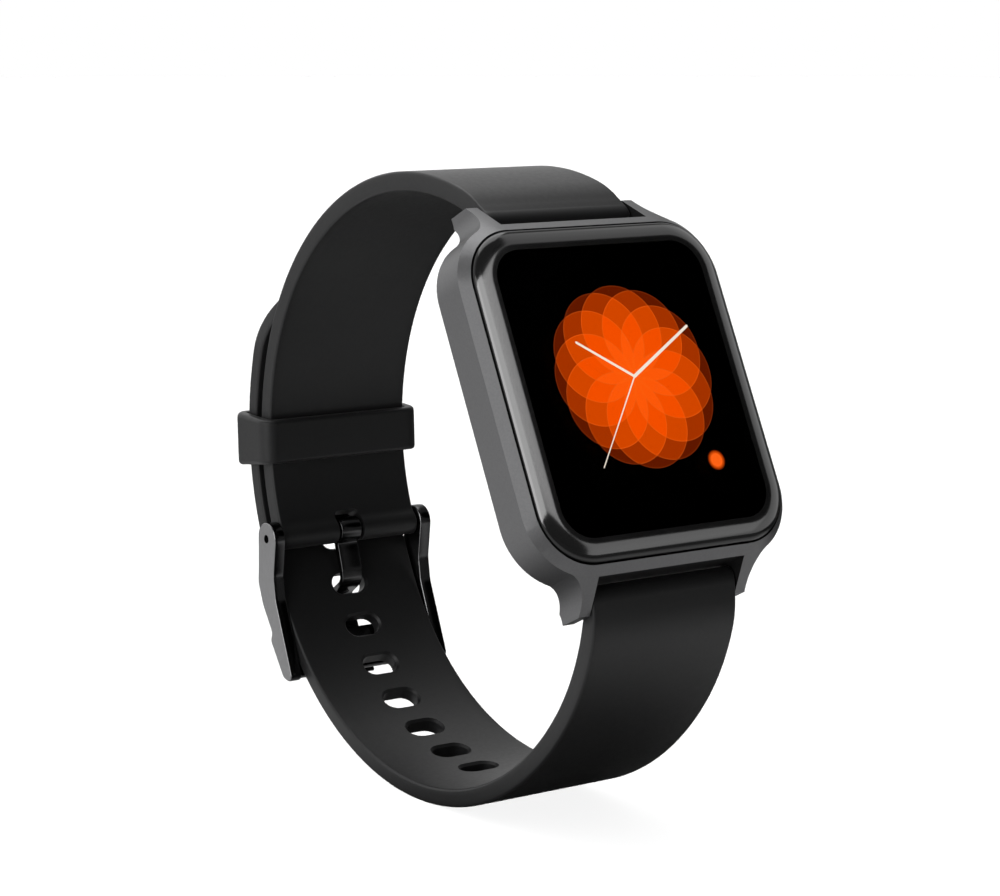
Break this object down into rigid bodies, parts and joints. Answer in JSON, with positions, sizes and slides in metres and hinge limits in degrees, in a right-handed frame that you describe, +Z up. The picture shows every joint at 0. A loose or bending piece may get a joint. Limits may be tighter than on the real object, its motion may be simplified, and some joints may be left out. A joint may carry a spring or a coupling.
{
  "type": "smartwatch",
  "caption": "Square-faced smartwatch with a curved glass front, closed on a pin-buckle strap with a sliding keeper and adjustment holes.",
  "frame": {"origin": "middle of the lowest line of the strap loop, the line it stands on in this attitude", "axes": "+Z up; +X across the strap, to the right when the display is read; display faces -Y and leans back 26 degrees from upright"},
  "size_m": [0.0363, 0.0742, 0.0734],
  "materials": {
    "case_metal": "satin gunmetal",
    "front_glass": "polished, dark",
    "sensor_glass": "polished, dark",
    "seal_rubber": "matte",
    "display": "glossy, lit",
    "inner_plastic": "matte",
    "rear_plastic": "fine satin",
    "flex_film": "amber film",
    "circuit_board": "solder mask",
    "battery_foil": "foil pouch",
    "bare_steel": "bare",
    "contact_gold": "gold plated",
    "strap_silicone": "matte silicone",
    "black_metal": "polished black"
  },
  "bodies": {
    "case": {"case_body": "case_metal", "front_glass": "front_glass", "glass_seal": "seal_rubber", "display_panel": "display", "display_bracket": "inner_plastic", "display_flex": "flex_film", "main_board": "circuit_board", "battery": "battery_foil", "vibration_motor": "bare_steel", "side_switch": "inner_plastic", "sensor_board": "circuit_board", "optical_sensor": "inner_plastic", "sensor_window": "sensor_glass", "rear_cover": "rear_plastic", "rear_cover_seal": "seal_rubber", "rear_cover_screws": "bare_steel", "charging_contacts": "contact_gold", "button_spring": "bare_steel"},
    "button": {"side_button": "case_metal", "button_seal": "seal_rubber", "button_clip": "bare_steel"},
    "band": {"upper_strap": "strap_silicone", "lower_strap": "strap_silicone", "buckle_pin": "black_metal", "upper_spring_bar": "bare_steel", "upper_bar_spring": "bare_steel", "lower_spring_bar": "bare_steel", "lower_bar_spring": "bare_steel"},
    "upper_lever": {"upper_release_lever": "bare_steel"},
    "lower_lever": {"lower_release_lever": "bare_steel"},
    "keeper": {"keeper": "strap_silicone"},
    "buckle": {"buckle_frame": "black_metal"},
    "tongue": {"buckle_tongue": "black_metal"}
  },
  "joints": [
    {"name": "button_press", "type": "slide", "parent": "case", "child": "button", "axis": [-1, 0, 0], "range_m": [0, 0.0004], "stiffness_N_per_m": 3000, "springref_m": -0.0003, "deforming": ["button_spring"]},
    {"name": "band_swing", "type": "hinge", "parent": "case", "child": "band", "pos_m": [0, -0.01274, 0.06864], "axis": [1, 0, 0], "range_deg": [0, 120], "deforming": ["lower_spring_bar", "lower_release_lever"]},
    {"name": "upper_release", "type": "slide", "parent": "band", "child": "upper_lever", "axis": [-1, 0, 0], "range_m": [0, 0.00105], "stiffness_N_per_m": 1500, "springref_m": -0.001, "deforming": ["upper_bar_spring"]},
    {"name": "lower_release", "type": "slide", "parent": "band", "child": "lower_lever", "axis": [-1, 0, 0], "range_m": [0, 0.00105], "stiffness_N_per_m": 1500, "springref_m": -0.001, "deforming": ["lower_bar_spring"]},
    {"name": "keeper_slide", "type": "hinge", "parent": "band", "child": "keeper", "pos_m": [0, 0.00071, 0.03975], "axis": [1, 0, 0], "range_deg": [-8, 19]},
    {"name": "buckle_swing", "type": "hinge", "parent": "band", "child": "buckle", "pos_m": [0, 0.03051, 0.02662], "axis": [1, 0, 0], "range_deg": [0, 3.5]},
    {"name": "tongue_lift", "type": "hinge", "parent": "buckle", "child": "tongue", "pos_m": [0, 0.03051, 0.02662], "axis": [1, 0, 0], "range_deg": [0, 2.5]}
  ]
}
